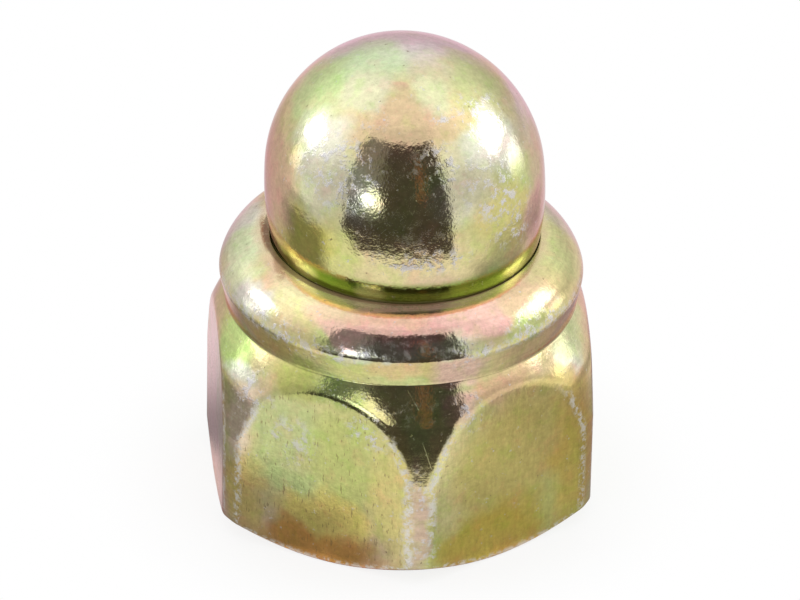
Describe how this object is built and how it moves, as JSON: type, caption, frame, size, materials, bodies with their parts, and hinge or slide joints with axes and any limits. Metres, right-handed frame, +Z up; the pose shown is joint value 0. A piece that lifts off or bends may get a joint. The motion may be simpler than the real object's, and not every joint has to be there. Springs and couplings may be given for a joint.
{
  "type": "cap lock nut",
  "caption": "Hexagon lock nut closed by a pressed steel dome. A rolled-in collar holds the dome on a nylon ring that grips the bolt, and the dome covers the bolt's end.",
  "frame": {"origin": "middle of the flat bearing face", "axes": "+Z up the thread's axis towards the dome; +X square to one pair of flats, so two corners of the hexagon lie on the Y axis"},
  "size_m": [0.019, 0.0212, 0.0252],
  "materials": {
    "body_steel": "yellow-passivated zinc plate with olive, green and pink tints, worn pale at the edges",
    "dome_steel": "yellow-passivated zinc plate with olive, green and pink tints and small bright rubs",
    "nylon": "natural off-white nylon"
  },
  "bodies": {
    "root": {"nut_body": "body_steel", "locking_ring": "nylon", "dome_cap": "dome_steel"}
  },
  "joints": []
}
